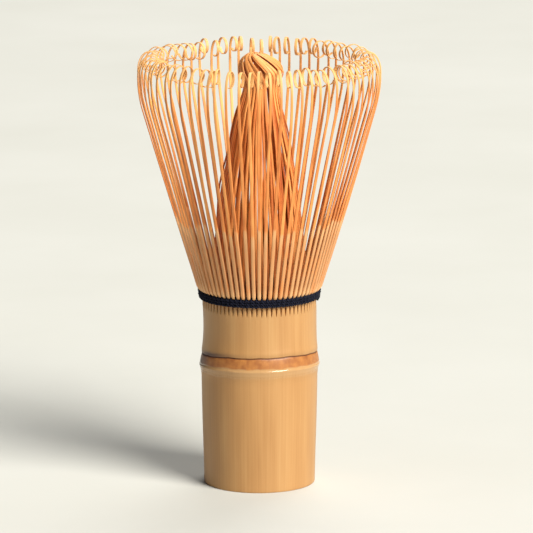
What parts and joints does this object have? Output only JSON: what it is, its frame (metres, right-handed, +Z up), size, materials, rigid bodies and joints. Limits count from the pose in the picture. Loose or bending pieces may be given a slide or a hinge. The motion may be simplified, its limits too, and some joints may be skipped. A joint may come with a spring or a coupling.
{
  "type": "bamboo tea whisk",
  "caption": "Whisk cut from one bamboo culm: a round handle with a node, a dark woven thread, a flared ring of curl-tipped outer tines and a gathered inner bundle with a rounded head.",
  "frame": {"origin": "on the whisk's axis at the foot of the handle", "axes": "+Z up along the axis towards the tips; -Y faces the viewer"},
  "size_m": [0.0607, 0.0608, 0.11],
  "materials": {
    "culm": "satin, with fine upright fibres",
    "outer_bamboo": "satin",
    "inner_bamboo": "satin",
    "thread": "matte twisted cotton"
  },
  "bodies": {
    "handle": {"handle": "culm", "thread": "thread"},
    "inner_bundle": {"inner_tines_01": "inner_bamboo", "inner_tines_02": "inner_bamboo", "inner_tines_03": "inner_bamboo", "inner_tines_04": "inner_bamboo", "inner_tines_05": "inner_bamboo", "inner_tines_06": "inner_bamboo", "inner_tines_07": "inner_bamboo", "inner_tines_08": "inner_bamboo", "inner_tines_09": "inner_bamboo", "inner_tines_10": "inner_bamboo", "inner_tines_11": "inner_bamboo", "inner_tines_12": "inner_bamboo", "inner_tines_13": "inner_bamboo", "inner_tines_14": "inner_bamboo", "inner_tines_15": "inner_bamboo", "inner_tines_16": "inner_bamboo", "inner_tines_17": "inner_bamboo", "inner_tines_18": "inner_bamboo"},
    "outer_split_01": {"outer_tines_01": "outer_bamboo"},
    "outer_split_02": {"outer_tines_02": "outer_bamboo"},
    "outer_split_03": {"outer_tines_03": "outer_bamboo"},
    "outer_split_04": {"outer_tines_04": "outer_bamboo"},
    "outer_split_05": {"outer_tines_05": "outer_bamboo"},
    "outer_split_06": {"outer_tines_06": "outer_bamboo"},
    "outer_split_07": {"outer_tines_07": "outer_bamboo"},
    "outer_split_08": {"outer_tines_08": "outer_bamboo"},
    "outer_split_09": {"outer_tines_09": "outer_bamboo"},
    "outer_split_10": {"outer_tines_10": "outer_bamboo"},
    "outer_split_11": {"outer_tines_11": "outer_bamboo"},
    "outer_split_12": {"outer_tines_12": "outer_bamboo"},
    "outer_split_13": {"outer_tines_13": "outer_bamboo"},
    "outer_split_14": {"outer_tines_14": "outer_bamboo"},
    "outer_split_15": {"outer_tines_15": "outer_bamboo"},
    "outer_split_16": {"outer_tines_16": "outer_bamboo"},
    "outer_split_17": {"outer_tines_17": "outer_bamboo"},
    "outer_split_18": {"outer_tines_18": "outer_bamboo"}
  },
  "joints": [
    {"name": "outer_flex_01", "type": "hinge", "parent": "handle", "child": "outer_split_01", "pos_m": [-0.00061, -0.01394, 0.0487], "axis": [0.999, -0.0436, 0], "range_deg": [-3.5, 4], "stiffness_Nm_per_rad": 0.014},
    {"name": "outer_flex_02", "type": "hinge", "parent": "handle", "child": "outer_split_02", "pos_m": [0.00419, -0.0133, 0.0487], "axis": [0.9537, 0.3007, 0], "range_deg": [-3.5, 4], "stiffness_Nm_per_rad": 0.014},
    {"name": "outer_flex_03", "type": "hinge", "parent": "handle", "child": "outer_split_03", "pos_m": [0.00849, -0.01107, 0.0487], "axis": [0.7934, 0.6088, 0], "range_deg": [-3.5, 4], "stiffness_Nm_per_rad": 0.014},
    {"name": "outer_flex_04", "type": "hinge", "parent": "handle", "child": "outer_split_04", "pos_m": [0.01177, -0.0075, 0.0487], "axis": [0.5373, 0.8434, 0], "range_deg": [-3.5, 4], "stiffness_Nm_per_rad": 0.014},
    {"name": "outer_flex_05", "type": "hinge", "parent": "handle", "child": "outer_split_05", "pos_m": [0.01362, -0.00302, 0.0487], "axis": [0.2164, 0.9763, 0], "range_deg": [-3.5, 4], "stiffness_Nm_per_rad": 0.014},
    {"name": "outer_flex_06", "type": "hinge", "parent": "handle", "child": "outer_split_06", "pos_m": [0.01383, 0.00182, 0.0487], "axis": [-0.1305, 0.9914, 0], "range_deg": [-3.5, 4], "stiffness_Nm_per_rad": 0.014},
    {"name": "outer_flex_07", "type": "hinge", "parent": "handle", "child": "outer_split_07", "pos_m": [0.01237, 0.00644, 0.0487], "axis": [-0.4617, 0.887, 0], "range_deg": [-3.5, 4], "stiffness_Nm_per_rad": 0.014},
    {"name": "outer_flex_08", "type": "hinge", "parent": "handle", "child": "outer_split_08", "pos_m": [0.00942, 0.01029, 0.0487], "axis": [-0.7373, 0.6756, 0], "range_deg": [-3.5, 4], "stiffness_Nm_per_rad": 0.014},
    {"name": "outer_flex_09", "type": "hinge", "parent": "handle", "child": "outer_split_09", "pos_m": [0.00534, 0.01289, 0.0487], "axis": [-0.9239, 0.3827, 0], "range_deg": [-3.5, 4], "stiffness_Nm_per_rad": 0.014},
    {"name": "outer_flex_10", "type": "hinge", "parent": "handle", "child": "outer_split_10", "pos_m": [0.00061, 0.01394, 0.0487], "axis": [-0.999, 0.0436, 0], "range_deg": [-3.5, 4], "stiffness_Nm_per_rad": 0.014},
    {"name": "outer_flex_11", "type": "hinge", "parent": "handle", "child": "outer_split_11", "pos_m": [-0.00419, 0.0133, 0.0487], "axis": [-0.9537, -0.3007, 0], "range_deg": [-3.5, 4], "stiffness_Nm_per_rad": 0.014},
    {"name": "outer_flex_12", "type": "hinge", "parent": "handle", "child": "outer_split_12", "pos_m": [-0.00849, 0.01107, 0.0487], "axis": [-0.7934, -0.6088, 0], "range_deg": [-3.5, 4], "stiffness_Nm_per_rad": 0.014},
    {"name": "outer_flex_13", "type": "hinge", "parent": "handle", "child": "outer_split_13", "pos_m": [-0.01177, 0.0075, 0.0487], "axis": [-0.5373, -0.8434, 0], "range_deg": [-3.5, 4], "stiffness_Nm_per_rad": 0.014},
    {"name": "outer_flex_14", "type": "hinge", "parent": "handle", "child": "outer_split_14", "pos_m": [-0.01362, 0.00302, 0.0487], "axis": [-0.2164, -0.9763, 0], "range_deg": [-3.5, 4], "stiffness_Nm_per_rad": 0.014},
    {"name": "outer_flex_15", "type": "hinge", "parent": "handle", "child": "outer_split_15", "pos_m": [-0.01383, -0.00182, 0.0487], "axis": [0.1305, -0.9914, 0], "range_deg": [-3.5, 4], "stiffness_Nm_per_rad": 0.014},
    {"name": "outer_flex_16", "type": "hinge", "parent": "handle", "child": "outer_split_16", "pos_m": [-0.01237, -0.00644, 0.0487], "axis": [0.4617, -0.887, 0], "range_deg": [-3.5, 4], "stiffness_Nm_per_rad": 0.014},
    {"name": "outer_flex_17", "type": "hinge", "parent": "handle", "child": "outer_split_17", "pos_m": [-0.00942, -0.01029, 0.0487], "axis": [0.7373, -0.6756, 0], "range_deg": [-3.5, 4], "stiffness_Nm_per_rad": 0.014},
    {"name": "outer_flex_18", "type": "hinge", "parent": "handle", "child": "outer_split_18", "pos_m": [-0.00534, -0.01289, 0.0487], "axis": [0.9239, -0.3827, 0], "range_deg": [-3.5, 4], "stiffness_Nm_per_rad": 0.014},
    {"name": "inner_sway", "type": "hinge", "parent": "handle", "child": "inner_bundle", "pos_m": [0, 0, 0.0487], "axis": [0, 1, 0], "range_deg": [-2.5, 2.5], "stiffness_Nm_per_rad": 0.15}
  ]
}
